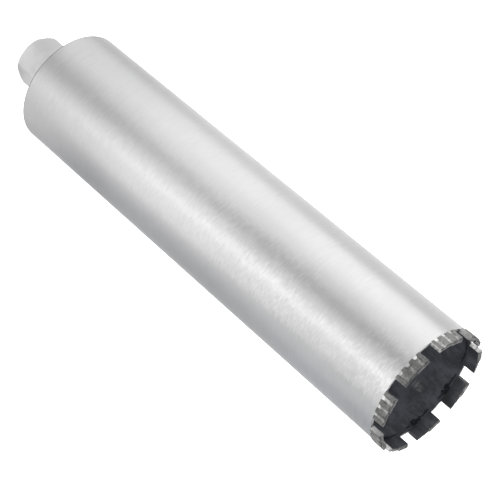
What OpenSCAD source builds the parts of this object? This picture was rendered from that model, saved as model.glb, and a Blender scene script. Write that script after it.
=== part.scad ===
// Wet core drill bit. It stands on the end of its hub, mouth up:
// Z is the drilling axis, z = 0 is the hub's end face, and the cutting tips are at the top.

/* [Barrel] */
// Outside diameter of the barrel tube
barrel_od = 100; // [80:1:140]
// Length of the barrel tube, from its welded back end to the rim that carries the segments
barrel_len = 400; // [150:5:600]
// Wall thickness of the barrel tube
barrel_wall = 2; // [1.6:0.1:3]
// Small chamfer on the outer edge of the tube's back end
back_chamfer = 0.6; // [0.2:0.1:1]

/* [End plate and welds] */
// Thickness of the disc that closes the back of the barrel
plate_t = 8; // [5:0.5:12]
// Gap left between two pieces that are slid together before they are welded
weld_gap = 0.1; // [0.05:0.05:0.2]
// Depth of the V groove for the weld between the tube and the disc
seam_depth = 1.5; // [1:0.1:2]
// How far that weld is crowned above the faces beside it
seam_crown = 0.5; // [0.2:0.1:0.8]
// Leg of the fillet weld around the foot of the hub
fillet_leg = 4; // [2:0.5:5]

/* [Hub] */
// Width of the hub across its flats
hub_flats = 39.7; // [38:0.1:46]
// Length of the hub outside the barrel
hub_len = 48.5; // [46:0.5:80]
// Diameter of the circle that the 45 degree chamfer on the corners leaves on the end face
hub_face_d = 40.5; // [36:0.5:42]
// Diameter of the turned neck that the fillet weld runs around
neck_d = 37; // [34:0.5:37]
// Length of that neck
neck_len = 6; // [5.5:0.5:9]
// Diameter of the spigot that passes through the disc
spigot_d = 32; // [24:0.5:33]
// Turn of the flats about the drilling axis, in degrees
hub_turn = 58.8; // [0:0.1:60]

/* [Spindle thread] */
// Minor diameter of the thread, as the tapping drill leaves it
thread_minor_d = 27.9; // [20:0.1:28]
// Diameter of the countersunk mouth of the thread
thread_mouth_d = 33; // [30:0.5:34]
// Depth of the tapped hole, from the end face to its full-width bottom
thread_depth = 36; // [20:1:38]
// Diameter of the water hole from the thread into the barrel
water_hole_d = 14; // [6:0.5:18]

/* [Cutting segments] */
// Length of one segment, measured round its outside
seg_len = 24; // [22:0.5:26]
// Thickness of a segment, measured radially
seg_t = 3.6; // [3.2:0.1:5]
// Height of a segment, from the rim to its highest tip
seg_h = 9.9; // [7:0.1:15]
// How far the segments stand out from the barrel, so that it clears the wall of the hole
seg_proud = 0.8; // [0.5:0.1:1.2]
// Turn of the first segment about the drilling axis, in degrees
seg_turn = 6.5; // [0:0.1:40]

/* [Segment tips] */
// Drop of the long bevel at the tip, outside on the first half and inside on the second
tip_drop = 1.1; // [0.4:0.1:2]
// Drop of the short bevel on the other side of the crest
crest_drop = 0.35; // [0.1:0.05:0.6]
// Width of the short bevel
crest_w = 1; // [0.4:0.1:1.5]

/* [Segment grooves] */
// Distance between the middles of two grooves
groove_pitch = 7.3; // [5.5:0.1:7.5]
// Width of a groove at its floor
groove_floor_w = 2.4; // [1.6:0.1:3]
// Width of a groove at its mouth
groove_mouth_w = 3; // [2:0.1:3.4]
// Width of the ground scallop where a groove runs out at the barrel
scallop_w = 3.7; // [3:0.1:4.2]
// Height of that scallop above the rim
scallop_h = 2.3; // [2.2:0.1:4]

/* [Hidden] */

$fn = 96;
seg_count = 9;                        // segments round the rim
grooves_per_seg = 3;                  // grooves in the outside of one segment
arc_steps = 8;                        // straight steps in the crown of a weld
over = 1;                             // how far a cutter reaches past what it cuts

barrel_r = barrel_od / 2;
bore_r = barrel_r - barrel_wall;      // inside of the tube
plate_r = bore_r - weld_gap;
back_z = hub_len;                     // the tube's back end and the outer face of the disc
plate_z = back_z + plate_t;           // the face of the disc inside the barrel
rim_z = back_z + barrel_len;          // the rim that carries the segments

hex_corner_r = hub_flats / sqrt(3);
neck_r = neck_d / 2;
face_r = hub_face_d / 2;
spigot_r = spigot_d / 2;
minor_r = thread_minor_d / 2;
mouth_r = thread_mouth_d / 2;
water_r = water_hole_d / 2;
drill_tip = (minor_r - water_r) / tan(59);   // the cone that a 118 degree drill leaves

seg_out_r = barrel_r + seg_proud;
seg_in_r = seg_out_r - seg_t;
seg_angle = seg_len / seg_out_r * 180 / PI;
seg_pitch = 360 / seg_count;
groove_turn = groove_pitch / seg_out_r * 180 / PI;

// The tube, chamfered outside at the back and bevelled inside there for the weld
module barrel_tube() {
    color("gainsboro")
    rotate_extrude()
        polygon([[bore_r, rim_z],
                 [bore_r, back_z + seam_depth],
                 [bore_r + seam_depth * 0.8, back_z],
                 [barrel_r - back_chamfer, back_z],
                 [barrel_r, back_z + back_chamfer],
                 [barrel_r, rim_z]]);
}

// The disc in the back of the tube, bevelled for the weld and bored for the hub
module end_plate() {
    color("silver")
    rotate_extrude()
        polygon([[spigot_r + weld_gap, back_z],
                 [plate_r - seam_depth, back_z],
                 [plate_r, back_z + seam_depth],
                 [plate_r, plate_z],
                 [spigot_r + weld_gap, plate_z]]);
}

// Everything that a lathe leaves of the hexagon bar: chamfered end, neck and spigot
module hub_turning() {
    rotate_extrude()
        polygon([[0, 0],
                 [face_r, 0],
                 [hex_corner_r + over, hex_corner_r + over - face_r],
                 [hex_corner_r + over, back_z - neck_len],
                 [neck_r, back_z - neck_len],
                 [neck_r, back_z],
                 [spigot_r, back_z],
                 [spigot_r, plate_z],
                 [0, plate_z]]);
}

// The tapped hole with its countersink and drill cone, and the water hole beyond it
module hub_bore() {
    rotate_extrude()
        polygon([[0, -over],
                 [mouth_r + over, -over],
                 [minor_r, mouth_r - minor_r],
                 [minor_r, thread_depth],
                 [water_r, thread_depth + drill_tip],
                 [water_r, plate_z + over],
                 [0, plate_z + over]]);
}

module hex_hub() {
    color("lightgray")
    difference() {
        intersection() {
            hub_turning();
            rotate([0, 0, hub_turn + 30]) cylinder(r = hex_corner_r, h = plate_z, $fn = 6);
        }
        hub_bore();
    }
}

// Points of an arc from p to q that bulges by sag to the right of that line
function crown(p, q, sag) =
    let (d = q - p, half = norm(d) / 2, r = (half * half + sag * sag) / (2 * sag),
         n = [d[1], -d[0]] / norm(d), c = (p + q) / 2 - n * (r - sag), a = asin(half / r),
         a0 = atan2(n[1], n[0]))
    [for (i = [0:arc_steps]) let (t = a0 - a + 2 * a * i / arc_steps) c + r * [cos(t), sin(t)]];

// The fillet weld in the corner between the neck of the hub and the disc
module hub_weld() {
    color("darkgray")
    rotate_extrude()
        polygon(concat([[neck_r, back_z]],
                       crown([neck_r, back_z - fillet_leg], [neck_r + fillet_leg, back_z],
                             fillet_leg / 10)));
}

// The weld that fills the V groove between the disc and the tube
module plate_weld() {
    color("darkgray")
    rotate_extrude()
        polygon(concat([[bore_r, back_z + seam_depth], [plate_r, back_z + seam_depth]],
                       crown([plate_r - seam_depth, back_z],
                             [bore_r + seam_depth * 0.8, back_z], seam_crown)));
}

// Section of a segment up to where its bevels start
function blank() =
    let (top = seg_h - max(tip_drop, crest_drop))
    [[seg_in_r, 0], [seg_out_r, 0], [seg_out_r, top], [seg_in_r, top]];

// Section of a segment with its long bevel on the outside, as seen along the rim
function outside_bevel() =
    [[seg_in_r, 0], [seg_out_r, 0], [seg_out_r, seg_h - tip_drop],
     [seg_in_r + crest_w, seg_h], [seg_in_r, seg_h - crest_drop]];

// The same section with the long bevel on the inside
function inside_bevel() =
    [[seg_in_r, 0], [seg_out_r, 0], [seg_out_r, seg_h - crest_drop],
     [seg_out_r - crest_w, seg_h], [seg_in_r, seg_h - tip_drop]];

// One groove along the drilling axis, its floor flush with the barrel
module groove() {
    linear_extrude(height = seg_h + 2 * over)
        polygon([[barrel_r, -groove_floor_w / 2],
                 [seg_out_r, -groove_mouth_w / 2],
                 [seg_out_r + over, -groove_mouth_w / 2],
                 [seg_out_r + over, groove_mouth_w / 2],
                 [seg_out_r, groove_mouth_w / 2],
                 [barrel_r, groove_floor_w / 2]]);
}

// The round-ended scallop that is ground into the foot of a groove
module scallop() {
    translate([barrel_r, 0, 0])
    rotate([0, 90, 0])
    linear_extrude(height = seg_proud + over)
        union() {
            translate([scallop_w / 2 - scallop_h, 0]) circle(d = scallop_w, $fn = 48);
            translate([scallop_w / 2 - scallop_h, -scallop_w / 2])
                square([scallop_h - scallop_w / 2 + over, scallop_w]);
        }
}

// A sintered diamond segment on the rim: k counts the segments from 0
module segment(k) {
    mid = (grooves_per_seg - 1) / 2;
    color("gray")
    rotate([0, 0, seg_turn + k * seg_pitch])
    translate([0, 0, rim_z])
    difference() {
        union() {
            rotate([0, 0, -seg_angle / 2])
                rotate_extrude(angle = seg_angle) polygon(blank());
            rotate([0, 0, -seg_angle / 2])
                rotate_extrude(angle = seg_angle / 2) polygon(outside_bevel());
            rotate_extrude(angle = seg_angle / 2) polygon(inside_bevel());
        }
        for (g = [0:grooves_per_seg - 1]) {
            rotate([0, 0, (g - mid) * groove_turn]) {
                translate([0, 0, -over]) groove();
                scallop();
            }
        }
    }
}

barrel_tube();
end_plate();
hex_hub();
hub_weld();
plate_weld();
segment(0);  // segment_1
segment(1);  // segment_2
segment(2);  // segment_3
segment(3);  // segment_4
segment(4);  // segment_5
segment(5);  // segment_6
segment(6);  // segment_7
segment(7);  // segment_8
segment(8);  // segment_9
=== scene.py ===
import math

import bmesh
import bpy
from mathutils import Matrix, Vector


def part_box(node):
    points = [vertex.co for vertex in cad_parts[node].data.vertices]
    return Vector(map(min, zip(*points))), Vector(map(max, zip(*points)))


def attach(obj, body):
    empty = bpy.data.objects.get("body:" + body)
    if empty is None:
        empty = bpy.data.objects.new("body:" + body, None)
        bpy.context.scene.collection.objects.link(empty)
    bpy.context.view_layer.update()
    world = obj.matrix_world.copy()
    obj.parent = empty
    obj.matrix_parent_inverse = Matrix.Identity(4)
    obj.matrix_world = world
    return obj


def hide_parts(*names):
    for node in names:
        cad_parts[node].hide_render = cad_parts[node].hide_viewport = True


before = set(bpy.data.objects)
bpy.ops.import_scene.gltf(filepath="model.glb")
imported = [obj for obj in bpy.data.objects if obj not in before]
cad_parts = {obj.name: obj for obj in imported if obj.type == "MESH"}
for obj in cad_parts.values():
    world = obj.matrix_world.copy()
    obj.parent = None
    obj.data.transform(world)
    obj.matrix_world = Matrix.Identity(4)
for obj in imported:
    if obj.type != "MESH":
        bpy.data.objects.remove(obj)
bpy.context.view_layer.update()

# Barrel: a steel tube with a 2 mm wall, chamfered at its back end and bevelled inside there for the weld.
# Its outside is ground in a lathe, which leaves fine lines that run round it, and its inside is dipped in
# dark matt paint, which is darkened below each segment at the rim.
barrel_low, barrel_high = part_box("barrel_tube")
barrel_r = barrel_high.x
back_z = barrel_low.z
rim_z = barrel_high.z
barrel_wall = 0.002
bore_r = barrel_r - barrel_wall
back_chamfer = 0.0006
seam_depth = 0.0015
seam_side = 0.8 * seam_depth
rim_round = 0.00015
turn_steps = 240
sharp_angle = math.radians(20)
near = 0.00001
merge_gap = 0.000001
segment_count = 9
segment_turn = math.radians(6.5)


def node(tree, kind, inputs=None, **settings):
    """One shader node, with its settings, and a value or a link for each input that is named."""
    made = tree.nodes.new(kind)
    for name, value in settings.items():
        setattr(made, name, value)
    for name, value in (inputs or {}).items():
        socket = made.inputs[name]
        if isinstance(value, bpy.types.NodeSocket):
            tree.links.new(value, socket)
        else:
            socket.default_value = value
    return made


def maths(tree, operation, a, b=0.0, c=0.0):
    """The result of one Math node."""
    return node(tree, "ShaderNodeMath", {0: a, 1: b, 2: c}, operation=operation).outputs[0]


def times(tree, value, *others):
    """The product of two values or more."""
    for other in others:
        value = maths(tree, "MULTIPLY", value, other)
    return value


def off(tree, value, middle):
    """How far a value lies from middle, on either side of it."""
    return maths(tree, "ABSOLUTE", maths(tree, "SUBTRACT", value, middle))


def squares(tree, a, b):
    """The squares of two values, added."""
    return maths(tree, "MULTIPLY_ADD", a, a, times(tree, b, b))


def ramp(tree, value, low, high, to_low=0.0, to_high=1.0):
    """A value eased from to_low at low to to_high at high."""
    made = node(tree, "ShaderNodeMapRange",
                {"Value": value, "From Min": low, "From Max": high, "To Min": to_low, "To Max": to_high},
                interpolation_type="SMOOTHSTEP")
    return made.outputs["Result"]


def span(tree, value, start, full, fading, end):
    """1 from full to fading, eased to 0 at start and at end."""
    return times(tree, ramp(tree, value, start, full), ramp(tree, value, end, fading))


def mixed(tree, factor, a, b):
    """Colour a where factor is 0 and colour b where it is 1."""
    made = node(tree, "ShaderNodeMix", {0: factor, 6: a, 7: b}, data_type="RGBA")
    return made.outputs[2]


def vectors(tree, operation, a, b=(0, 0, 0)):
    """The result of one Vector Math node."""
    made = node(tree, "ShaderNodeVectorMath", {0: a, 1: b}, operation=operation)
    return made.outputs["Value" if operation in ("DOT_PRODUCT", "LENGTH") else "Vector"]


def noise(tree, place, scale, detail, roughness):
    """The value of a noise texture."""
    made = node(tree, "ShaderNodeTexNoise",
                {"Vector": place, "Scale": scale, "Detail": detail, "Roughness": roughness})
    return made.outputs[0]


def object_place(tree):
    """The point that is shaded, and its X, Y and Z."""
    place = node(tree, "ShaderNodeTexCoord").outputs["Object"]
    parts = node(tree, "ShaderNodeSeparateXYZ", {0: place}).outputs
    return place, parts["X"], parts["Y"], parts["Z"]


def axis_distance(tree, x, y):
    """Distance of the shaded point from the drilling axis."""
    return vectors(tree, "LENGTH", node(tree, "ShaderNodeCombineXYZ", {0: x, 1: y}).outputs[0])


def towards(tree, place, angle):
    """How far the shaded point lies from the axis towards the side at that angle from X."""
    return vectors(tree, "DOT_PRODUCT", place, (math.cos(angle), math.sin(angle), 0))


def bumped(tree, shader, height, strength, distance):
    """Roughens a shader's surface by that height."""
    bump = node(tree, "ShaderNodeBump", {"Height": height, "Strength": strength, "Distance": distance})
    tree.links.new(bump.outputs["Normal"], shader.inputs["Normal"])


def new_group(name, inputs, outputs):
    """An empty shader node group with those sockets, and its input and output nodes."""
    group = bpy.data.node_groups.new(name, "ShaderNodeTree")
    for label, kind, value in inputs:
        socket = group.interface.new_socket(name=label, in_out="INPUT", socket_type=kind)
        socket.default_value = value
    for label, kind in outputs:
        group.interface.new_socket(name=label, in_out="OUTPUT", socket_type=kind)
    return group, node(group, "NodeGroupInput"), node(group, "NodeGroupOutput")


def placed(tree, group, inputs):
    """A node group set into a material, with its own values."""
    made = tree.nodes.new("ShaderNodeGroup")
    made.node_tree = group
    for name, value in inputs.items():
        made.inputs[name].default_value = value
    return made


def new_material(name):
    """A material with its tree and its Principled shader."""
    made = bpy.data.materials.new(name)
    made.use_nodes = True
    return made, made.node_tree, made.node_tree.nodes["Principled BSDF"]


def new_turning_lines():
    """Lines that a tool or abrasive leaves round the drilling axis, and the patches in which
    they are strong. Slope tilts the lines, so that they cross those of another set."""
    number = "NodeSocketFloat"
    group, given, result = new_group(
        "turning_lines",
        [("Width", number, 0.0004), ("Length", number, 0.03), ("Slope", number, 0.0)],
        [("Lines", number), ("Patches", number)])
    place, x, y, z = object_place(group)
    tilted = maths(group, "ADD", z, times(group, x, given.outputs["Slope"]))
    across = maths(group, "DIVIDE", tilted, given.outputs["Width"])
    along_x = maths(group, "DIVIDE", x, given.outputs["Length"])
    along_y = maths(group, "DIVIDE", y, given.outputs["Length"])
    stretched = node(group, "ShaderNodeCombineXYZ", {0: along_x, 1: along_y, 2: across}).outputs[0]
    group.links.new(noise(group, stretched, scale=1.0, detail=3.0, roughness=0.65), result.inputs["Lines"])
    group.links.new(noise(group, place, scale=28.0, detail=2.0, roughness=0.5), result.inputs["Patches"])
    return group


turning_lines = new_turning_lines()

# The values of a noise between which a ramp passes, for soft patches and for clearer ones.
noise_range = (0.3, 0.7)
noise_middle = (0.35, 0.65)

# The ground outside of the barrel. Each side is given as on_side takes it, its angle in degrees
# from X first. A stretch is the four heights that span takes, an edge the two heights between
# which a change sets in, and an end the two between which it fades.
steel_light = (0.615, 0.615, 0.615, 1)
steel_dark = (0.51, 0.51, 0.51, 1)
# Painted shade: the back chamfer is coloured near black, standing for the shaded floor that it reflects.
chamfer_painted_shade = (0.07, 0.07, 0.07, 1)
chamfer_shade_edge = (back_z + 1.8 * back_chamfer, back_z + 1.2 * back_chamfer)
fine_lines = {"Width": 0.0004, "Length": 0.012, "Slope": 0.03}
broad_lines = {"Width": 0.0013, "Length": 0.022, "Slope": -0.05}
stroke_lines = {"Width": 0.0009, "Length": 0.005, "Slope": 0.12}
broad_share = 0.4
faint_lines = 0.45
line_contrast = 2.2
stroke_contrast = 3.0
stroked_side = (-58, 0.82, 0.96)
least_stroked = 0.25
# Painted highlight: the tone is raised over this stretch of the barrel.
painted_highlight_stretch = (rim_z - 0.33, rim_z - 0.25, rim_z - 0.21, rim_z - 0.14)
painted_highlight_gain = 0.27
# Painted shade: the tone is lowered near the mouth, more on the stroked side.
mouth_shade_edge = (rim_z - 0.12, rim_z - 0.06)
mouth_shade_end = (rim_z - 0.035, rim_z - 0.010)
mouth_shade_loss = 0.12
stroke_shade_loss = 0.38
# Painted shade: the tone is lowered over a stretch on one side.
shaded_side = (-74, 0.965, 0.992)
shaded_stretch = (rim_z - 0.18, rim_z - 0.13, rim_z - 0.08, rim_z - 0.02)
shaded_loss = 0.35
# Painted light and shade: a slightly blue tint that lightens the back and the mouth and darkens the middle,
# on one side only, and painted shade on another side, strongest at the back.
painted_light_side = (2, 0.78, 1.0)
no_painted_light = (1, 1, 1, 1)
painted_light_back = (1.23, 1.23, 1.245, 1)
painted_light_back_edge = (back_z, back_z + 0.10)
painted_shade_middle = (0.755, 0.762, 0.790, 1)
painted_light_mouth = (1.08, 1.10, 1.145, 1)
painted_light_mouth_edge = (rim_z - 0.22, rim_z)
painted_dim_side = (-118, 0.90, 0.99)
painted_dim_end = (back_z, rim_z - 0.05)
painted_dim_tint = (0.90, 0.90, 0.90, 1)
ground_roughness = 0.45
dull_roughness = 0.60
dull_length = 0.15
rim_roughness = 0.49
rim_length = 0.06
line_polish = 0.16
stroke_polish = 0.6


def on_side(tree, place, degrees, least, full):
    """Where the barrel's wall faces a side: 0 up to the least share of its radius towards that
    side, and 1 from the full share."""
    return ramp(tree, towards(tree, place, math.radians(degrees)), least * barrel_r, full * barrel_r)


def new_ground_steel():
    """Steel ground round its axis: fine and broad lines, and stronger strokes on one side. Its tone is
    painted lighter over one stretch and darker near the mouth and on one side, and its tint lighter or
    darker along the barrel: painted highlight and painted shade. Its highlights spread along the barrel."""
    made, tree, shader = new_material("ground_steel")
    place, _, _, z = object_place(tree)
    fine = placed(tree, turning_lines, fine_lines).outputs
    broad = placed(tree, turning_lines, broad_lines).outputs
    strokes = placed(tree, turning_lines, stroke_lines).outputs
    lines = maths(tree, "MULTIPLY_ADD", broad["Lines"], broad_share,
                  times(tree, fine["Lines"], 1 - broad_share))
    strong = ramp(tree, ramp(tree, fine["Patches"], *noise_middle), 0.0, 1.0, faint_lines, 1.0)
    swing = times(tree, maths(tree, "SUBTRACT", lines, 0.5), strong)
    stroked = times(tree, on_side(tree, place, *stroked_side),
                    ramp(tree, z, back_z, rim_z, least_stroked, 1.0))
    stroke = times(tree, maths(tree, "SUBTRACT", strokes["Lines"], 0.5), stroked)

    level = maths(tree, "MULTIPLY_ADD", stroke, stroke_contrast,
                  maths(tree, "MULTIPLY_ADD", swing, line_contrast, 0.5))
    # Painted highlight over a stretch of the barrel.
    level = maths(tree, "MULTIPLY_ADD", span(tree, z, *painted_highlight_stretch), painted_highlight_gain, level)
    # Painted shade near the mouth.
    near_mouth = times(tree, ramp(tree, z, *mouth_shade_edge), ramp(tree, z, *mouth_shade_end, 1.0, 0.5))
    loss = maths(tree, "MULTIPLY_ADD", stroked, stroke_shade_loss, mouth_shade_loss)
    level = maths(tree, "SUBTRACT", level, times(tree, near_mouth, loss))
    # Painted shade over a stretch on one side.
    shaded = times(tree, span(tree, z, *shaded_stretch), on_side(tree, place, *shaded_side))
    level = maths(tree, "MULTIPLY_ADD", shaded, -shaded_loss, level)

    # Painted light and shade along the barrel and on two sides.
    tint = mixed(tree, ramp(tree, z, *painted_light_back_edge), painted_light_back, painted_shade_middle)
    tint = mixed(tree, ramp(tree, z, *painted_light_mouth_edge), tint, painted_light_mouth)
    tint = mixed(tree, on_side(tree, place, *painted_light_side), no_painted_light, tint)
    dim = times(tree, on_side(tree, place, *painted_dim_side), ramp(tree, z, *painted_dim_end, 1.0, 0.1))
    tint = mixed(tree, dim, tint, painted_dim_tint)
    colour = node(tree, "ShaderNodeMix", {0: 1.0, 6: mixed(tree, level, steel_dark, steel_light), 7: tint},
                  data_type="RGBA", blend_type="MULTIPLY").outputs[2]
    # Painted shade on the back chamfer.
    colour = mixed(tree, ramp(tree, z, *chamfer_shade_edge), colour, chamfer_painted_shade)
    tree.links.new(colour, shader.inputs["Base Color"])

    dull_back = ramp(tree, z, back_z, back_z + dull_length, dull_roughness - ground_roughness, 0.0)
    dull_rim = ramp(tree, z, rim_z - rim_length, rim_z, ground_roughness, rim_roughness)
    polish = maths(tree, "ADD", times(tree, swing, line_polish), times(tree, stroke, stroke_polish))
    tree.links.new(maths(tree, "SUBTRACT", maths(tree, "ADD", dull_back, dull_rim), polish),
                   shader.inputs["Roughness"])
    bumped(tree, shader, swing, strength=0.10, distance=0.0002)
    tangent = node(tree, "ShaderNodeTangent", direction_type="RADIAL", axis="Z")
    tree.links.new(tangent.outputs["Tangent"], shader.inputs["Tangent"])
    shader.inputs["Metallic"].default_value = 1.0
    shader.inputs["Anisotropic"].default_value = 0.85
    shader.inputs["Anisotropic Rotation"].default_value = 0.25
    return made


# The sawn rim, and the paint inside. Depths are counted down from the rim, angles in radians
# from the middle of a segment. A mark with a pair of values sets in from the first to the
# second, and the marks fade out on the side where x is least.
rim_light = (0.22, 0.22, 0.22, 1)
rim_dark = (0.09, 0.09, 0.09, 1)
paint_roughness = (0.62, 0.48)
paint_colour = (0.036, 0.038, 0.045, 1)
paint_pale = (0.088, 0.092, 0.106, 1)
cloud_size = (110, 110, 55)
# Painted light: the paint is made paler deep in the barrel.
painted_light_deep = (0.258, 0.268, 0.306, 1)
painted_light_deep_edge = (rim_z + 0.002, rim_z - 0.052)
# Near black, for the dark marks below the segments and for painted shade on their inner faces.
dark_mark_and_shade_colour = (0.008, 0.008, 0.011, 1)
marked_x = (-0.046, -0.036)
# A dark line that wanders round the bore below each segment, and a ragged patch between it and the segment.
dark_line_depth = 0.0026
dark_line_wander = 0.004
dark_line_width = 0.0012
# Painted shade: a fainter dark line at the foot of each segment, under its inner step.
step_shade_depth = 0.0004
step_shade_width = 0.0006
line_core = 0.0001
patch_turn = -0.05
patch_half = 0.13
patch_fade = 0.16
dark_mark_turn = (0.27, 0.22)
# Painted shade on the segments' inner faces: most at the foot and at the trailing end.
face_shade_height = (rim_z + 0.0010, rim_z + 0.0090)
face_shade_foot = 0.47
face_shade_tip = 0.05
face_shade_turn = (0.05, -0.20)
face_shade_end = 0.42
past_rim = (rim_z - 0.0002, rim_z + 0.0002)
# A few short pale streaks on the wall of the bore.
pale_streak_colour = (0.40, 0.39, 0.38, 1)
pale_streak_place = (-0.0164, 0.0451, rim_z - 0.0206)
pale_streak_stretch = (1, 1, 0.55)
pale_streak_r = 0.0040
pale_streak_core_r = 0.0016
pale_streak_lines = {"Width": 0.0012, "Length": 0.006}


def new_rim_steel():
    """The sawn end of the tube, dull and smeared with paint."""
    made, tree, shader = new_material("rim_steel")
    smears = noise(tree, object_place(tree)[0], scale=300.0, detail=3.0, roughness=0.6)
    tree.links.new(mixed(tree, ramp(tree, smears, 0.4, 0.6), rim_dark, rim_light),
                   shader.inputs["Base Color"])
    shader.inputs["Roughness"].default_value = 0.6
    shader.inputs["Metallic"].default_value = 0.5
    return made


def off_segment(tree, x, y):
    """The angle round the axis from the middle of the nearest segment."""
    turn = maths(tree, "SUBTRACT", maths(tree, "ARCTAN2", y, x), segment_turn)
    half_pitch = math.pi / segment_count
    return maths(tree, "WRAP", turn, half_pitch, -half_pitch)


def darkened_below_segments(tree, x, z, off_middle, clouds, ragged):
    """Where the paint is darkened below each segment: a thin line round the bore that wanders, a fainter
    one at the foot of the segment that is painted shade under its inner step, and a ragged patch between
    them."""
    depth = maths(tree, "SUBTRACT", rim_z, z)
    wander = times(tree, maths(tree, "SUBTRACT", clouds, 0.5), dark_line_wander)
    off_line = off(tree, maths(tree, "ADD", depth, wander), dark_line_depth)
    line = times(tree, ramp(tree, off_line, dark_line_width, line_core),
                 ramp(tree, ragged, 0.34, 0.52, 0.25, 0.8))
    foot = ramp(tree, off(tree, depth, step_shade_depth), step_shade_width, line_core, 0.0, 0.35)
    around = maths(tree, "DIVIDE", maths(tree, "SUBTRACT", off_middle, patch_turn), patch_half)
    along = maths(tree, "DIVIDE", maths(tree, "SUBTRACT", depth, dark_line_depth), dark_line_depth)
    patch_reach = maths(tree, "MULTIPLY_ADD", squares(tree, around, along), -patch_fade, ragged)
    patch = times(tree, ramp(tree, patch_reach, 0.33, 0.45), ramp(tree, x, *marked_x, 0.2, 0.85))
    dark_marks = maths(tree, "MAXIMUM", maths(tree, "MAXIMUM", line, foot), patch)
    under = ramp(tree, maths(tree, "ABSOLUTE", off_middle), *dark_mark_turn)
    return times(tree, dark_marks, under)


def painted_face_shade(tree, x, z, off_middle, clouds):
    """Painted shade on the inner faces of the segments: darkest at the foot and at the trailing end. It
    leaves the wall of the bore as it is."""
    by_height = ramp(tree, z, *face_shade_height, face_shade_foot, face_shade_tip)
    by_end = ramp(tree, off_middle, *face_shade_turn, 0.0, face_shade_end)
    return times(tree, maths(tree, "ADD", by_height, by_end), ramp(tree, clouds, *noise_middle, 1.25, 0.75),
                 ramp(tree, x, *marked_x), ramp(tree, z, *past_rim))


def pale_streaks(tree, place):
    """A few short pale streaks round the wall of the bore."""
    reach = vectors(tree, "MULTIPLY", vectors(tree, "SUBTRACT", place, pale_streak_place), pale_streak_stretch)
    rubs = placed(tree, turning_lines, pale_streak_lines).outputs["Lines"]
    return times(tree, ramp(tree, rubs, 0.48, 0.64, 0.0, 0.7),
                 ramp(tree, vectors(tree, "LENGTH", reach), pale_streak_r, pale_streak_core_r))


def new_core_paint():
    """Dark matt paint with a cloudy, slightly grained skin. Deep in the barrel it is made paler: painted
    light. It has a few pale streaks, dark marks below the segments that are partly painted shade, and
    painted shade on the segments' inner faces."""
    made, tree, shader = new_material("core_paint")
    place, x, y, z = object_place(tree)
    cloud_place = vectors(tree, "MULTIPLY", place, cloud_size)
    clouds = noise(tree, cloud_place, scale=1.0, detail=4.0, roughness=0.65)
    ragged = noise(tree, place, scale=380.0, detail=3.0, roughness=0.7)
    grain = noise(tree, place, scale=1400.0, detail=2.0, roughness=0.6)
    off_middle = off_segment(tree, x, y)
    dark_marks = darkened_below_segments(tree, x, z, off_middle, clouds, ragged)

    level = maths(tree, "MULTIPLY_ADD", maths(tree, "SUBTRACT", ragged, 0.5), 0.35, clouds)
    colour = mixed(tree, ramp(tree, level, 0.35, 0.7), paint_colour, paint_pale)
    # Painted light: paler deep in the barrel.
    deep = times(tree, ramp(tree, z, *painted_light_deep_edge, 0.0, 0.9), ramp(tree, level, *noise_middle, 0.52, 1.0))
    colour = mixed(tree, deep, colour, painted_light_deep)
    colour = mixed(tree, pale_streaks(tree, place), colour, pale_streak_colour)
    # Painted shade on the segments' inner faces.
    colour = mixed(tree, painted_face_shade(tree, x, z, off_middle, clouds), colour, dark_mark_and_shade_colour)
    # Dark marks below the segments; the faint one at their foot is painted shade.
    colour = mixed(tree, dark_marks, colour, dark_mark_and_shade_colour)
    tree.links.new(colour, shader.inputs["Base Color"])
    tree.links.new(times(tree, dark_marks, 0.9), shader.inputs["Metallic"])
    tree.links.new(ramp(tree, clouds, *noise_range, *paint_roughness), shader.inputs["Roughness"])
    bumped(tree, shader, grain, strength=0.25, distance=0.0002)
    return made


def turned(outline, steps=turn_steps):
    """A closed outline of radii and heights, turned about the drilling axis."""
    shape = bmesh.new()
    points = [shape.verts.new((r, 0, z)) for r, z in outline]
    lines = [shape.edges.new((points[i - 1], points[i])) for i in range(len(points))]
    bmesh.ops.spin(shape, geom=points + lines, axis=(0, 0, 1), cent=(0, 0, 0),
                   angle=2 * math.pi, steps=steps, use_merge=True)
    bmesh.ops.recalc_face_normals(shape, faces=shape.faces)
    return shape


def radius_of(place):
    """Distance of a point from the drilling axis."""
    return math.hypot(place.x, place.y)


def round_ring(shape, radius, height, width):
    """Rounds the ring edge at that radius and height."""
    ring = [e for e in shape.edges
            if all(abs(radius_of(v.co) - radius) < near and abs(v.co.z - height) < near
                   for v in e.verts)]
    bmesh.ops.bevel(shape, geom=ring, offset=width, segments=2, profile=0.5, affect="EDGES", material=-1)


def finished(name, shape, materials, slot, *nodes):
    """Makes a piece of a bmesh, in place of those nodes of the frame."""
    mesh = bpy.data.meshes.new(name)
    shape.to_mesh(mesh)
    shape.free()
    mesh.shade_smooth()
    mesh.set_sharp_from_angle(angle=sharp_angle)
    for made in materials:
        mesh.materials.append(made)
    piece = bpy.data.objects.new(name, mesh)
    bpy.context.scene.collection.objects.link(piece)
    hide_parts(*nodes)
    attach(piece, "root")


ground_steel = new_ground_steel()
core_paint = new_core_paint()
rim_steel = new_rim_steel()
barrel_shape = turned([(bore_r, rim_z), (bore_r, back_z + seam_depth), (bore_r + seam_side, back_z),
                       (barrel_r - back_chamfer, back_z), (barrel_r, back_z + back_chamfer),
                       (barrel_r, rim_z)])
for face in barrel_shape.faces:
    centre = face.calc_center_median()
    if centre.z > rim_z - rim_round:
        face.material_index = 2
    elif radius_of(centre) < bore_r + rim_round and centre.z > back_z + seam_depth:
        face.material_index = 1
round_ring(barrel_shape, barrel_r, rim_z, rim_round)
round_ring(barrel_shape, bore_r, rim_z, rim_round)
finished("barrel", barrel_shape, [ground_steel, core_paint, rim_steel], "barrel_steel", "barrel_tube")

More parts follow.
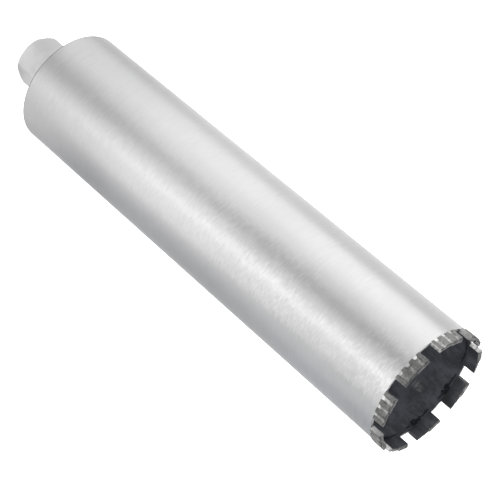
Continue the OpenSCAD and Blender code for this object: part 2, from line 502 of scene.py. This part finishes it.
# End plate: a turned steel disc, 8 mm thick, slid into the back of the barrel and welded.
# Its outer face keeps the rings of the lathe tool, and its inner face is painted.
_, plate_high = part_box("end_plate")
plate_r = plate_high.x
plate_z = plate_high.z
plate_hole_r = 0.0161
lathe_feed = 0.0004
ring_share = 0.3
plate_steel_light = (0.50, 0.50, 0.50, 1)
plate_steel_dark = (0.40, 0.40, 0.41, 1)
plate_roughness = (0.34, 0.46)


def new_faced_steel():
    """Steel faced in the lathe: rings round the axis, a little greyer than the barrel."""
    made, tree, shader = new_material("faced_steel")
    place, x, y, _ = object_place(tree)
    feed = times(tree, axis_distance(tree, x, y), 2 * math.pi / lathe_feed)
    rings = maths(tree, "MULTIPLY_ADD", maths(tree, "SINE", feed), 0.5, 0.5)
    cloud = noise(tree, place, scale=220.0, detail=3.0, roughness=0.6)
    level = maths(tree, "MULTIPLY_ADD", rings, ring_share, times(tree, cloud, 1 - ring_share))
    tree.links.new(mixed(tree, level, plate_steel_dark, plate_steel_light), shader.inputs["Base Color"])
    tree.links.new(ramp(tree, cloud, *noise_range, *plate_roughness), shader.inputs["Roughness"])
    bumped(tree, shader, rings, strength=0.2, distance=0.00005)
    shader.inputs["Metallic"].default_value = 1.0
    return made


faced_steel = new_faced_steel()
plate_shape = turned([(plate_hole_r, back_z), (plate_r - seam_depth, back_z),
                      (plate_r, back_z + seam_depth), (plate_r, plate_z), (plate_hole_r, plate_z)])
for face in plate_shape.faces:
    face.material_index = int(face.calc_center_median().z > plate_z - rim_round)
finished("back_disc", plate_shape, [faced_steel, core_paint], "plate_steel", "end_plate")

# Weld between the tube and the disc: one bead that fills the V groove at the back end and
# stands a little proud of it, with the ripples of the torch.
seam_crown = 0.0005
seam_ripples = 150
seam_ripple = 0.00012
crown_steps = 8
weld_steps = 480
ripple_lag = 1.4
weld_light = (0.46, 0.45, 0.44, 1)
weld_dark = (0.26, 0.25, 0.25, 1)
weld_roughness = (0.42, 0.58)


def crown(p, q, rise):
    """Points of an arc from p to q, each a radius and a height, that bulges to the right."""
    p, q = Vector(p), Vector(q)
    half = (q - p).length / 2
    bend = (half * half + rise * rise) / (2 * rise)
    out = Vector((q.y - p.y, p.x - q.x)).normalized()
    centre = (p + q) / 2 - out * (bend - rise)
    reach = math.asin(half / bend)
    start = math.atan2(out.y, out.x) - reach
    turns = [start + 2 * reach * i / crown_steps for i in range(crown_steps + 1)]
    return [(centre.x + bend * math.cos(t), centre.y + bend * math.sin(t)) for t in turns]


def rippled(foot, bead, count, height):
    """A weld bead turned about the axis. foot holds its hidden corners and bead its arc. Its
    ripples are crescents of that height, and count says how many run round it."""
    shape = turned(foot + bead, weld_steps)
    first, last = Vector(bead[0]), Vector(bead[-1])
    along = (last - first).normalized()
    out = Vector((along.y, -along.x))
    width = (last - first).length
    for v in shape.verts:
        spot = Vector((radius_of(v.co), v.co.z))
        share = (spot - first).dot(along) / width
        if (spot - first).dot(out) < merge_gap or not 0 < share < 1:
            continue
        angle = math.atan2(v.co.y, v.co.x)
        lag = ripple_lag * (2 * share - 1) ** 2
        wave = 1 - abs(math.sin((angle * count - lag) / 2))
        lift = height * wave * math.sin(math.pi * share) ** 0.5
        v.co += Vector((math.cos(angle) * out.x, math.sin(angle) * out.x, out.y)) * lift
    return shape


def new_weld_metal():
    """Weld metal: dull, with a faint tint of heat."""
    made, tree, shader = new_material("weld_metal")
    cloud = noise(tree, object_place(tree)[0], scale=400.0, detail=4.0, roughness=0.6)
    tree.links.new(mixed(tree, ramp(tree, cloud, *noise_range), weld_dark, weld_light),
                   shader.inputs["Base Color"])
    tree.links.new(ramp(tree, cloud, *noise_range, *weld_roughness), shader.inputs["Roughness"])
    bumped(tree, shader, cloud, strength=0.3, distance=0.0003)
    shader.inputs["Metallic"].default_value = 1.0
    return made


weld_metal = new_weld_metal()
seam_shape = rippled([(bore_r, back_z + seam_depth), (plate_r, back_z + seam_depth)],
                     crown((plate_r - seam_depth, back_z), (bore_r + seam_side, back_z), seam_crown),
                     seam_ripples, seam_ripple)
finished("seam_weld", seam_shape, [weld_metal], "weld_metal", "plate_weld")

# Hub: a 39.7 mm hexagon bar, faced and chamfered at 45 degrees in the lathe, with a turned neck
# and a spigot through the disc. A coarse right-handed thread for the machine's spindle is cut
# in its end, and a water hole runs on into the barrel.
_, hub_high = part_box("hex_hub")
flat_r = 0.01985
corner_r = flat_r / math.cos(math.radians(30))
corner_round = 0.0009
corner_steps = 4
flat_cuts = 20
first_flat = math.radians(58.8)
face_r = 0.02025
neck_r = 0.0185
neck_len = 0.006
neck_z = back_z - neck_len
spigot_r = 0.016
mouth_r = 0.0165
minor_r = 0.01395
major_r = 0.015875
thread_pitch = 0.0254 / 7
thread_flank = math.radians(30)
thread_steps = 96
cut_gap = 0.0000001
thread_end = 0.034
bore_end = 0.036
drill_point = math.radians(59)
water_r = 0.007
hub_light = (0.64, 0.64, 0.64, 1)
hub_dark = (0.54, 0.54, 0.54, 1)
hub_shade = (0.51, 0.51, 0.51, 1)
hub_roughness = (0.36, 0.46)
hub_lines = {"Width": 0.0006, "Length": 0.02, "Slope": 0.0}
feed_share = 0.5
# Painted highlight on one flat, fading across it and up it, and painted shade on the flat beside it.
flat_painted_highlight = (0.73, 0.73, 0.73, 1)
highlight_turn = first_flat - math.radians(120)
highlight_edge = (flat_r - 0.0004, flat_r - 0.0001)
highlight_across = (0.001, 0.012)
highlight_height = (0.004, 0.024)
across_turn = first_flat - math.radians(210)
shaded_across = (corner_r / 2 - 0.0006, corner_r / 2 + 0.0002)
shaded_height = (0.002, 0.018)


def next_ring(shape, ring, place):
    """Extrudes a ring of edges and puts each new vertex where place says."""
    made = bmesh.ops.extrude_edge_only(shape, edges=ring)["geom"]
    for v in made:
        if isinstance(v, bmesh.types.BMVert):
            v.co = place(v.co)
    return [e for e in made if isinstance(e, bmesh.types.BMEdge)]


def at_radius(radius, height):
    """A place function that keeps a vertex's angle."""
    def place(co):
        scale = radius / radius_of(co)
        return Vector((co.x * scale, co.y * scale, height))
    return place


def hub_outside(shape):
    """The hexagon from its shoulder down to the end face, and the neck and spigot above it.
    It is open at the thread's mouth and at the water hole."""
    made = bmesh.ops.create_circle(shape, cap_ends=True, segments=6, radius=corner_r,
                                   matrix=Matrix.Rotation(first_flat, 4, "Z"))
    bmesh.ops.bevel(shape, geom=made["verts"], offset=corner_round, segments=corner_steps,
                    profile=0.5, affect="VERTICES", material=-1)
    sides = [e for e in shape.edges if e.calc_length() > corner_r / 2]
    bmesh.ops.subdivide_edges(shape, edges=sides, cuts=flat_cuts)
    bmesh.ops.delete(shape, geom=shape.faces[:], context="FACES_ONLY")
    bmesh.ops.translate(shape, verts=shape.verts, vec=(0, 0, neck_z))
    shoulder = shape.edges[:]
    ring = next_ring(shape, shoulder,
                     lambda co: Vector((co.x, co.y, max(radius_of(co) - face_r, 0))))
    ring = next_ring(shape, ring, lambda co: at_radius(min(radius_of(co), face_r), 0)(co))
    next_ring(shape, ring, at_radius(mouth_r, 0))
    ring = shoulder
    for radius, height in [(neck_r, neck_z), (neck_r, back_z), (spigot_r, back_z),
                           (spigot_r, hub_high.z), (water_r, hub_high.z)]:
        ring = next_ring(shape, ring, at_radius(radius, height))
    bmesh.ops.remove_doubles(shape, verts=shape.verts, dist=merge_gap)


def thread_wall(shape):
    """The wall of the threaded hole: the section of one pitch, wound up the axis, then cut back
    to the countersink at the mouth and run out at the end."""
    flank = (major_r - minor_r) * math.tan(thread_flank)
    crest = thread_pitch / 4
    section = [(minor_r, 0), (minor_r, crest), (major_r, crest + flank),
               (major_r, thread_pitch - flank), (minor_r, thread_pitch)]
    turns = math.ceil(thread_end / thread_pitch) + 2
    points = [shape.verts.new((r, 0, z - thread_pitch)) for r, z in section]
    lines = [shape.edges.new(points[i:i + 2]) for i in range(len(points) - 1)]
    bmesh.ops.subdivide_edges(shape, edges=lines, cuts=2)
    bmesh.ops.spin(shape, geom=shape.verts[:] + shape.edges[:], axis=(0, 0, 1), cent=(0, 0, 0),
                   angle=2 * math.pi, dvec=(0, 0, thread_pitch / thread_steps), steps=thread_steps,
                   use_merge=False)
    one_turn = shape.verts[:] + shape.edges[:] + shape.faces[:]
    for turn in range(1, turns):
        made = bmesh.ops.duplicate(shape, geom=one_turn)["geom"]
        bmesh.ops.translate(shape, verts=[g for g in made if isinstance(g, bmesh.types.BMVert)],
                            vec=(0, 0, turn * thread_pitch))
    bmesh.ops.remove_doubles(shape, verts=shape.verts, dist=merge_gap)
    for height, outward in [(0, -1), (thread_end, 1)]:
        bmesh.ops.bisect_plane(shape, geom=shape.verts[:] + shape.edges[:] + shape.faces[:],
                               plane_co=(0, 0, height), plane_no=(0, 0, outward), clear_outer=True,
                               dist=cut_gap)
    for v in shape.verts:
        depth_left = min(1.0, max(0.0, (thread_end - v.co.z) / thread_pitch))
        wanted = max(minor_r + (radius_of(v.co) - minor_r) * depth_left, mouth_r - v.co.z)
        v.co = at_radius(wanted, v.co.z)(v.co)


def new_hub_steel():
    """Machined hexagon bar: satin, with faint feed lines and small dull spots. One flat has a painted
    highlight on its near half, and the flat beside it has painted shade."""
    made, tree, shader = new_material("hub_steel")
    place, _, _, z = object_place(tree)
    feed = placed(tree, turning_lines, hub_lines).outputs["Lines"]
    cloud = noise(tree, place, scale=180.0, detail=4.0, roughness=0.6)
    across = towards(tree, place, across_turn)
    # Painted highlight on one flat, and painted shade on the flat beside it.
    on_flat = ramp(tree, towards(tree, place, highlight_turn), *highlight_edge, 0.0, 0.7)
    bright = times(tree, on_flat, ramp(tree, across, *highlight_across, 1.0, 0.0),
                   ramp(tree, z, *highlight_height, 1.0, 0.5), ramp(tree, cloud, *noise_middle, 0.9, 1.2))
    beside = times(tree, ramp(tree, across, *shaded_across), ramp(tree, z, *shaded_height, 0.2, 0.75))
    level = maths(tree, "MULTIPLY_ADD", feed, feed_share, times(tree, cloud, 1 - feed_share))
    colour = mixed(tree, ramp(tree, level, *noise_range), hub_dark, hub_light)
    colour = mixed(tree, beside, colour, hub_shade)
    tree.links.new(mixed(tree, bright, colour, flat_painted_highlight), shader.inputs["Base Color"])
    tree.links.new(ramp(tree, cloud, *noise_range, *hub_roughness), shader.inputs["Roughness"])
    bumped(tree, shader, level, strength=0.12, distance=0.0002)
    shader.inputs["Metallic"].default_value = 1.0
    return made


hub_steel = new_hub_steel()
hub_shape = bmesh.new()
hub_outside(hub_shape)
thread_shape = bmesh.new()
thread_wall(thread_shape)
thread_mesh = bpy.data.meshes.new("thread_wall")
thread_shape.to_mesh(thread_mesh)
thread_shape.free()
hub_shape.from_mesh(thread_mesh)
bpy.data.meshes.remove(thread_mesh)
hub_shape.normal_update()
open_edges = [e for e in hub_shape.edges if e.is_boundary]
mouth_edges = [e for e in open_edges if all(v.co.z < near for v in e.verts)]
end_edges = [e for e in open_edges if all(abs(v.co.z - thread_end) < near for v in e.verts)]
water_edges = [e for e in open_edges if all(v.co.z > hub_high.z - near for v in e.verts)]
bmesh.ops.bridge_loops(hub_shape, edges=mouth_edges)
drill_tip = (minor_r - water_r) / math.tan(drill_point)
end_ring = next_ring(hub_shape, end_edges, at_radius(minor_r, bore_end))
end_ring = next_ring(hub_shape, end_ring, at_radius(water_r, bore_end + drill_tip))
bmesh.ops.bridge_loops(hub_shape, edges=end_ring + water_edges)
bmesh.ops.recalc_face_normals(hub_shape, faces=hub_shape.faces)
for face in hub_shape.faces:
    face.material_index = int(face.calc_center_median().z > plate_z - rim_round)
finished("spindle_hub", hub_shape, [hub_steel, core_paint], "hub_steel", "hex_hub")

# Weld round the foot of the hub: a fillet bead between its neck and the disc, of the same
# metal as the other weld. Its ripples are a little longer and higher.
fillet_leg = 0.004
fillet_crown = fillet_leg / 10
fillet_ripples = 56
fillet_ripple = 0.0002
fillet_shape = rippled([(neck_r, back_z)],
                       crown((neck_r, back_z - fillet_leg), (neck_r + fillet_leg, back_z), fillet_crown),
                       fillet_ripples, fillet_ripple)
finished("foot_weld", fillet_shape, [weld_metal], "weld_metal", "hub_weld")

# Cutting segments: nine sintered blocks of metal powder and diamond grit, laser welded to the
# rim. Each has three grooves pressed in its outside, a scallop ground at the foot of each
# groove, and a stepped tip. The barrel's paint covers their inner faces and some of their ends.
segment_out_r = 0.0508
groove_pitch = 0.0073
groove_half = 0.0016
scallop_w = 0.0037
scallop_h = 0.0023
scallop_edge = 0.0003
# Heights over the barrel between which painted light in the grooves sets in; they take in the lower walls.
floor_rise = (0.0007, 0.0004)
worn_edge = 0.0001
flat_angle = math.radians(1)
inner_slope = 0.7
block_half = 0.012
tip_z = 0.0088
tip_inside = 0.0004
# Painted light in the grooves and scallops is weaker on the block near this X.
less_lit_x = 0.0170
less_lit_floors = (0.010, 0.022)
less_lit_scallops = (0.005, 0.009)
scratch_size = (2200, 90, 0)
sinter_roughness = (0.62, 0.42)
sinter_light = (0.165, 0.164, 0.162, 1)
sinter_dark = (0.070, 0.070, 0.069, 1)
# Paler grey, for the scratches and for painted light on some blocks.
scratch_and_light_grey = (0.26, 0.258, 0.255, 1)
# Painted light: a pale colour for the floors and walls of the grooves.
groove_light_colour = (0.46, 0.455, 0.45, 1)
tip_colour = (0.050, 0.050, 0.050, 1)
scallop_colour = (0.64, 0.64, 0.63, 1)
end_light = (0.62, 0.615, 0.61, 1)
end_dark = (0.24, 0.238, 0.235, 1)
end_cover = 0.9
end_dullness = 0.85

# Where the marks and the painted light on the blocks set in, each from its first X or Y to its second.
paler_left = (0.002, -0.018)
less_pale_far_left = (-0.030, -0.038)
paler_right = (0.044, 0.050)
scratched_x = (0.018, 0.034)
light_fade_left = (-0.036, -0.040)
light_fade_right = (0.0465, 0.0490)
bare_x = (0.036, 0.041)
bare_y = (0.028, 0.018)
whole_end_y = (0.0, 0.01)
beside_x = (0.0355, 0.0375)
beside_y = (-0.002, -0.004)


def paler_blocks_by_place(tree, x):
    """Painted light: how much paler the blocks are made, by their place round the bit."""
    # Painted light, set by the block's place round the bit.
    worn = maths(tree, "MAXIMUM", ramp(tree, x, *paler_left, 0.0, 0.5), ramp(tree, x, *paler_right, 0.0, 0.6))
    return times(tree, worn, ramp(tree, x, *less_pale_far_left, 1.0, 0.8))


def ground_scallops(tree, off_groove, up):
    """Where the round-ended scallop is ground at the foot of each groove."""
    over_middle = maths(tree, "MAXIMUM", maths(tree, "SUBTRACT", up, scallop_h - scallop_w / 2), 0.0)
    away = maths(tree, "SQRT", squares(tree, off_groove, over_middle))
    return ramp(tree, away, scallop_w / 2, scallop_w / 2 - scallop_edge)


def lit_groove_floors(tree, off_groove, radius):
    """Painted light: the floors of the three grooves and the lower part of their walls, which are made
    paler.
    """
    deep = ramp(tree, radius, *(barrel_r + rise for rise in floor_rise))
    within = ramp(tree, maths(tree, "ABSOLUTE", off_groove), groove_half, groove_half - worn_edge)
    return times(tree, deep, within)


def end_faces(tree, along, x, y):
    """The two end faces of each block. Near the camera the trailing ones show only half."""
    leading = ramp(tree, along, block_half - 2 * worn_edge, block_half - worn_edge, 0.0, end_cover)
    trailing = ramp(tree, along, worn_edge - block_half, 2 * worn_edge - block_half, end_cover, 0.0)
    shown = maths(tree, "MAXIMUM", ramp(tree, x, *bare_x), ramp(tree, y, *whole_end_y, 0.5, 1.0))
    return maths(tree, "ADD", leading, times(tree, trailing, shown))


def end_finish(tree, up, x, y, clouds):
    """The colour of the ends: painted at the far side, and elsewhere bare with dull patches.
    Two of the bare ones fade from a bright foot to a dull tip."""
    patches = ramp(tree, clouds, 0.40, 0.56)
    faded = maths(tree, "ADD", clouds, ramp(tree, up, 0.0, 0.009, 0.4, -0.35))
    beside = times(tree, ramp(tree, maths(tree, "ABSOLUTE", x), *beside_x), ramp(tree, y, *beside_y))
    level = maths(tree, "MULTIPLY_ADD", beside, maths(tree, "SUBTRACT", faded, patches), patches)
    bare = maths(tree, "MAXIMUM", ramp(tree, x, *bare_x), ramp(tree, y, *bare_y))
    return mixed(tree, bare, paint_colour, mixed(tree, level, end_dark, end_light))


def new_sinter():
    """Sintered metal: grained and pitted, scratched along the axis, and dark at the tips. Light is painted
    in: some blocks are made paler by their place round the bit, and the grooves' floors and walls are made
    paler, less so on some blocks. The scallops and the bare ends are bright."""
    made, tree, shader = new_material("sinter")
    place, x, y, _ = object_place(tree)
    own = node(tree, "ShaderNodeUVMap", uv_map="block").outputs["UV"]
    parts = node(tree, "ShaderNodeSeparateXYZ", {0: own}).outputs
    along, up = parts["X"], parts["Y"]
    radius = axis_distance(tree, x, y)
    off_groove = maths(tree, "WRAP", along, groove_pitch / 2, -groove_pitch / 2)
    clouds = noise(tree, place, scale=420.0, detail=4.0, roughness=0.65)
    grit = node(tree, "ShaderNodeTexVoronoi", {"Vector": place, "Scale": 2600.0}).outputs["Distance"]
    level = ramp(tree, maths(tree, "MULTIPLY_ADD", grit, 0.35, times(tree, clouds, 0.8)), 0.3, 0.8)
    colour = mixed(tree, level, sinter_dark, sinter_light)
    # Painted light: some blocks made paler by their place round the bit.
    colour = mixed(tree, paler_blocks_by_place(tree, x), colour, scratch_and_light_grey)

    scratch_place = vectors(tree, "MULTIPLY", own, scratch_size)
    scratches = noise(tree, scratch_place, scale=1.0, detail=2.0, roughness=0.6)
    scratched = times(tree, ramp(tree, scratches, 0.50, 0.66), ramp(tree, x, *scratched_x, 0.15, 0.7))
    colour = mixed(tree, scratched, colour, scratch_and_light_grey)

    # Painted light in the grooves, weakened on some blocks by their place round the bit.
    off_less_lit = off(tree, x, less_lit_x)
    faded = maths(tree, "MINIMUM", ramp(tree, x, *light_fade_right, 1.0, 0.35),
                  ramp(tree, x, *light_fade_left, 1.0, 0.4))
    floors = times(tree, lit_groove_floors(tree, off_groove, radius), faded,
                   ramp(tree, clouds, 0.38, 0.60, 0.25, 0.9), ramp(tree, off_less_lit, *less_lit_floors, 0.35, 1.0))
    colour = mixed(tree, floors, colour, groove_light_colour)
    inside = ramp(tree, radius, barrel_r - 0.0002, barrel_r - 0.0012, 0.0, tip_inside)
    at_tip = ramp(tree, maths(tree, "ADD", up, inside), tip_z - 0.0001, tip_z + 0.0003, 0.0, 0.8)
    colour = mixed(tree, at_tip, colour, tip_colour)
    # The scallops are ground bright; their brightness is painted weaker on some blocks by their place round
    # the bit.
    ground = ground_scallops(tree, off_groove, up)
    bright = times(tree, ground, faded, ramp(tree, clouds, 0.36, 0.56, 0.45, 1.0),
                   ramp(tree, off_less_lit, *less_lit_scallops, 0.5, 1.0))
    colour = mixed(tree, bright, colour, scallop_colour)
    at_end = end_faces(tree, along, x, y)
    colour = mixed(tree, at_end, colour, end_finish(tree, up, x, y, clouds))
    tree.links.new(colour, shader.inputs["Base Color"])

    tree.links.new(maths(tree, "MULTIPLY_ADD", at_end, -end_dullness, 1.0), shader.inputs["Metallic"])
    rough = times(tree, ramp(tree, level, 0.0, 1.0, *sinter_roughness),
                  ramp(tree, ground, 0.0, 1.0, 1.0, 0.75))
    tree.links.new(rough, shader.inputs["Roughness"])
    pits = maths(tree, "MULTIPLY_ADD", grit, -0.5, clouds)
    bumped(tree, shader, pits, strength=0.45, distance=0.0004)
    return made


def block_shape(source, middle):
    """A segment of the frame with its edges worn round, and a map of each point's length along
    the rim from the middle and its height above the rim."""
    shape = bmesh.new()
    shape.from_mesh(source)
    bmesh.ops.remove_doubles(shape, verts=shape.verts, dist=merge_gap)
    bmesh.ops.dissolve_limit(shape, angle_limit=flat_angle, verts=shape.verts, edges=shape.edges)
    sharp = [e for e in shape.edges if len(e.link_faces) == 2 and e.calc_face_angle() > sharp_angle]
    bmesh.ops.bevel(shape, geom=sharp, offset=worn_edge, segments=2, profile=0.5, affect="EDGES",
                    clamp_overlap=True, material=-1)
    own = shape.loops.layers.uv.new("block")
    for face in shape.faces:
        centre = face.calc_center_median()
        outward = (face.normal.x * centre.x + face.normal.y * centre.y) / radius_of(centre)
        face.material_index = int(outward < -inner_slope)
        for loop in face.loops:
            co = loop.vert.co
            turn = (math.atan2(co.y, co.x) - middle + math.pi) % (2 * math.pi) - math.pi
            loop[own].uv = (turn * segment_out_r, co.z - rim_z)
    return shape


sinter = new_sinter()
for k in range(segment_count):
    cad_name = f"segment_{k + 1}"
    middle = segment_turn + 2 * math.pi * k / segment_count
    shape = block_shape(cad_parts[cad_name].data, middle)
    finished(f"cutting_segment_{k + 1}", shape, [sinter, core_paint], "segment_metal", cad_name)

# Studio: a pale floor, and tall soft panels either side of the camera, so that the barrel
# shows one long light band beside each edge of the dim band that faces the camera. The air
# lights the part a little from all sides, and looks white to the camera.
floor_size = 12.0
facing_azimuth = math.radians(-68.2)
aim_height = 0.25
panel_distance = 1.6
floor_glow = 0.22
seen_glow = 0.75
air_dim = (0.18, 0.18, 0.18, 1)
air_white = (1, 1, 1, 1)


def new_floor_white():
    """A pale floor that glows a little, and looks white to the camera."""
    made, tree, shader = new_material("floor_white")
    seen = node(tree, "ShaderNodeLightPath").outputs["Is Camera Ray"]
    tree.links.new(maths(tree, "MULTIPLY_ADD", seen, seen_glow - floor_glow, floor_glow),
                   shader.inputs["Emission Strength"])
    shader.inputs["Emission Color"].default_value = (1, 1, 1, 1)
    shader.inputs["Base Color"].default_value = (0.8, 0.8, 0.8, 1)
    shader.inputs["Roughness"].default_value = 0.9
    shader.inputs["Specular IOR Level"].default_value = 0.1
    return made


def soft_panel(name, start, end, brightness, height=0.8, tall=1.6):
    """A soft panel of light that faces the part. start and end are the angles that it spans
    round the part, in degrees anticlockwise from the camera's side, and height is its middle."""
    azimuth = facing_azimuth + math.radians((start + end) / 2)
    width = 2 * panel_distance * math.tan(math.radians(abs(end - start) / 2))
    data = bpy.data.lights.new(name, "AREA")
    data.shape = "RECTANGLE"
    data.size = width
    data.size_y = tall
    data.energy = brightness * math.pi * width * tall
    lamp = bpy.data.objects.new(name, data)
    lamp.location = (panel_distance * math.cos(azimuth), panel_distance * math.sin(azimuth), height)
    facing = Vector((0, 0, aim_height)) - lamp.location
    lamp.rotation_euler = facing.to_track_quat("-Z", "Y").to_euler()
    lamp.visible_camera = False
    bpy.context.scene.collection.objects.link(lamp)


floor_shape = bmesh.new()
bmesh.ops.create_grid(floor_shape, x_segments=1, y_segments=1, size=floor_size / 2)
floor_mesh = bpy.data.meshes.new("floor")
floor_shape.to_mesh(floor_mesh)
floor_shape.free()
floor_mesh.materials.append(new_floor_white())
floor = bpy.data.objects.new("floor", floor_mesh)
bpy.context.scene.collection.objects.link(floor)

soft_panel("panel_left_far", 68, 100, 0.55)
soft_panel("panel_left_mid", 36, 68, 1.7)
soft_panel("panel_left", 18, 36, 3.35)
soft_panel("panel_left_near", 0, 18, 1.6)
soft_panel("panel_right_near", -47, -20, 1.5)
soft_panel("panel_right", -97, -47, 2.4)
soft_panel("panel_right_far", -120, -97, 0.5)
soft_panel("panel_behind", -160, -120, 1.0)
soft_panel("panel_back", 160, 180, 2.0)
soft_panel("panel_high", 155, 205, 9.5, height=2.2, tall=0.9)

air = bpy.data.worlds.new("air")
air.use_nodes = True
bpy.context.scene.world = air
seen_air = node(air.node_tree, "ShaderNodeLightPath").outputs["Is Camera Ray"]
air_colour = mixed(air.node_tree, seen_air, air_dim, air_white)
air.node_tree.links.new(air_colour, air.node_tree.nodes["Background"].inputs["Color"])
bpy.context.scene.view_settings.view_transform = "Standard"

# Camera: a long lens that looks down on the mouth of the barrel, turned about its own axis
# until the barrel runs from the upper left to the lower right.
camera_place = Vector((0.3608, -0.9020, 0.8071))
camera_aim = Vector((0.0052, 0.0021, 0.2742))
camera_roll = math.radians(130.6)
lens = 106.05
camera_data = bpy.data.cameras.new("camera")
camera_data.lens = lens
camera_data.sensor_width = 36
camera = bpy.data.objects.new("camera", camera_data)
look = (camera_aim - camera_place).to_track_quat("-Z", "Y").to_matrix().to_4x4()
camera.matrix_world = Matrix.Translation(camera_place) @ look @ Matrix.Rotation(camera_roll, 4, "Z")
bpy.context.scene.collection.objects.link(camera)
bpy.context.scene.camera = camera
